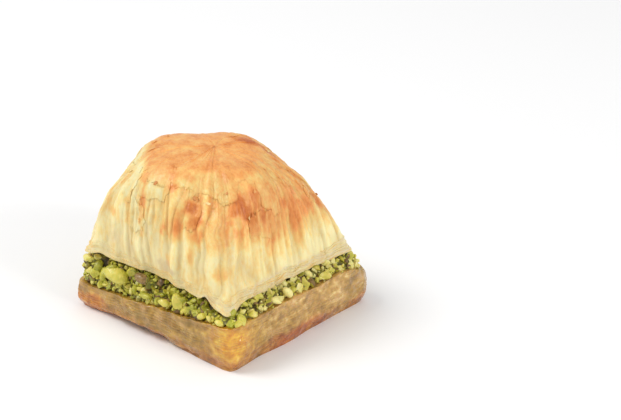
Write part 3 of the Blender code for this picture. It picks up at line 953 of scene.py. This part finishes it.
rim_turns = np.arange(RIM_AROUND) / RIM_AROUND
rim_ways = np.concatenate([direction(rim_turns), np.zeros((RIM_AROUND, 1))], 1)
rim_line = rim_ways * 20 * MM
hoop_points, hoop_browned, hoop_greyed = [], [], []
for number in range(RIM_LEAVES):
    level = 0.15 * MM + number * RIM_PITCH
    wave = 0.22 * MM * lumps(rim_line, 4 * MM, 200 + number)
    share = np.clip(level + wave, 0.02 * MM, None) / (19 * MM) / crown_slopes[-1]
    skin = on_skin(crown_skin, rim_turns, share)
    proud = 0.12 * MM + 0.34 * MM * lumps(rim_line, 2.6 * MM, 210 + number)
    proud += 0.12 * MM * lumps(rim_line, 0.9 * MM, 220 + number)
    proud *= 0.6 + 0.4 * step(-0.25, 0.45, rim_ways.sum(-1))
    outer = skin + rim_ways * np.clip(proud, -0.3 * MM, 0.5 * MM)[:, None]
    inner = skin - rim_ways * 0.6 * MM
    up = np.array((0, 0, LEAF_SHEET * 1.4))
    hoop_points.append(np.stack([inner, outer, outer + up, inner + up], 1))
    baked = 0.5 + 0.5 * lumps(rim_line, 3 * MM, 230 + number)
    hoop_browned.append(np.repeat(0.04 + 0.22 * baked, 4))
    hoop_greyed.append(np.repeat(0.7 * (1 - baked), 4))
index = np.arange(RIM_AROUND * 4).reshape(RIM_AROUND, 4)
after = np.roll(index, -1, 0)
hoop = np.stack([index, after, np.roll(after, -1, 1), np.roll(index, -1, 1)], -1).reshape(-1, 4)
rim_mesh = bpy.data.meshes.new("rim_leaves")
hoops = np.concatenate([hoop + index.size * number for number in range(RIM_LEAVES)])
rim_mesh.from_pydata(np.concatenate(hoop_points).reshape(-1, 3).tolist(), [], hoops.tolist())
note(rim_mesh, "browned", np.concatenate(hoop_browned))
note(rim_mesh, "greyed", np.concatenate(hoop_greyed))
note(rim_mesh, "deep", np.zeros(RIM_LEAVES * index.size))
finished("rim_leaves", rim_mesh, loose_finish, "baked_leaves")

# Loose flakes and crumbs: bits of dry leaf that broke off when the piece was cut. They lie
# on the crown, and nut crumbs lie on the ledge around the nuts.

FLAKE_CORNERS = 9
FLAKE_HEIGHT = 0.22 * MM  # how far above the crown's skin they lie

def leaf_flake(name, seed):
    """A torn and curled flake of leaf, 1 across."""
    chance = np.random.default_rng(seed)
    corners = np.arange(FLAKE_CORNERS) + chance.uniform(-0.3, 0.3, FLAKE_CORNERS)
    angles = corners / FLAKE_CORNERS * math.tau
    outline = chance.uniform(0.3, 0.55, FLAKE_CORNERS)
    flat = np.stack([np.cos(angles) * outline, np.sin(angles) * outline * 0.75, 0 * angles], -1)
    rings = []
    for shrink, side in ((0.5, 0), (1.0, 0), (1.0, 1), (0.5, 1)):
        ring = flat * shrink
        ring[:, 2] = 0.9 * ring[:, 0] ** 2 - 0.5 * ring[:, 1] ** 2 + 0.05 * side + 0.04
        rings.append(ring)
    return bpy.data.objects.new(name, closed_mesh(name, [(rings, (0, 0, 0.04), (0, 0, 0.09))]))


flakes = bpy.data.collections.new("leaf_flakes")
for number in range(5):
    flakes.objects.link(leaf_flake(f"leaf_flake_{number}", 40 + number))
flake_finish, tree, shader = new_finish("dry_flakes", 0.5, 0.05, 0.0, 1 * MM)
flake_stops = ((0.0, "f3dc9c"), (0.4, "f1c578"), (0.75, "e8a45a"), (1.0, "c77c38"))
tree.links.new(colours(tree, attribute(tree, "tone"), flake_stops), shader.inputs["Base Color"])
tree.links.new(bumped(tree, (grain(tree, 1800, 2.0), 0.05 * MM)), shader.inputs["Normal"])
upper_part = (slice(None, None, 6), slice(RIM_ROWS + 20, RIM_ROWS + 70, 5))
flake_ground = crown_skin[upper_part] + normals[upper_part] * FLAKE_HEIGHT
crown_flakes = strewn_mesh(
    "crown_flakes", open_grid("flake_ground", flake_ground), strew, Things=flakes, Finish=flake_finish,
    Spacing=2.2 * MM, Density=1.4e4, Smallest=0.6 * MM, Largest=1.5 * MM, Lying=True, Seed=4,
)
finished("crown_flakes", crown_flakes, flake_finish, "baked_leaves")

ledge_crumbs = strewn_mesh(
    "ledge_crumbs", open_grid("ledge", base_top[::3, 1:6]), strew, Things=nut_bits, Finish=nut_finish,
    Spacing=0.9 * MM, Density=5.0e5, Smallest=0.35 * MM, Largest=0.95 * MM, Lying=False, Seed=12,
)
finished("ledge_crumbs", ledge_crumbs, nut_finish, "chopped_pistachio")

# The table and the light: a plain pale surface, a wide soft lamp high at the left, a weaker one
# at the right and white walls all round. The camera looks down at the corner of the piece.

LENS = 100.9  # millimetres, on a sensor 36 mm wide
LOOK_DOWN, LOOK_ROUND, CAMERA_ROLL = math.radians(24.69), math.radians(39.31), math.radians(1.77)

table_mesh = bpy.data.meshes.new("table")
table_mesh.from_pydata([(-3, -3, 0), (3, -3, 0), (3, 3, 0), (-3, 3, 0)], [], [(0, 1, 2, 3)])
table_finish = bpy.data.materials.new("pale_table")
table_finish.use_nodes = True
table_shader = table_finish.node_tree.nodes["Principled BSDF"]
table_shader.inputs["Base Color"].default_value = (0.93, 0.93, 0.93, 1)
table_shader.inputs["Roughness"].default_value = 0.6
table_mesh.materials.append(table_finish)
table = bpy.data.objects.new("table", table_mesh)
bpy.context.scene.collection.objects.link(table)


def soft_lamp(name, place, size, power, target=(0, 0, 0.015)):
    """A square lamp of this size and power in watts, turned towards the target."""
    lamp = bpy.data.lights.new(name, "AREA")
    lamp.size = size
    lamp.energy = power
    holder = bpy.data.objects.new(name, lamp)
    holder.location = place
    holder.rotation_euler = (Vector(target) - Vector(place)).to_track_quat("-Z", "Y").to_euler()
    bpy.context.scene.collection.objects.link(holder)


soft_lamp("high_lamp", (-0.45, -0.40, 0.75), 0.4, 4.8)
soft_lamp("right_lamp", (0.80, 0.05, 0.42), 0.25, 2.6)
room = bpy.data.worlds.new("white_room")
room.use_nodes = True
room.node_tree.nodes["Background"].inputs["Color"].default_value = (1, 1, 1, 1)
room.node_tree.nodes["Background"].inputs["Strength"].default_value = 0.64
bpy.context.scene.world = room
bpy.context.scene.view_settings.view_transform = "Standard"

camera_data = bpy.data.cameras.new("camera")
camera_data.lens = LENS
camera_data.sensor_width = 36
camera_data.clip_start = 0.01
camera = bpy.data.objects.new("camera", camera_data)
turned = Matrix.Rotation(LOOK_ROUND, 4, "Z") @ Matrix.Rotation(math.pi / 2 - LOOK_DOWN, 4, "X")
place = Matrix.Translation((0.2241, -0.2453, 0.1748))
camera.matrix_world = place @ turned @ Matrix.Rotation(CAMERA_ROLL, 4, "Z")
bpy.context.scene.collection.objects.link(camera)
bpy.context.scene.camera = camera
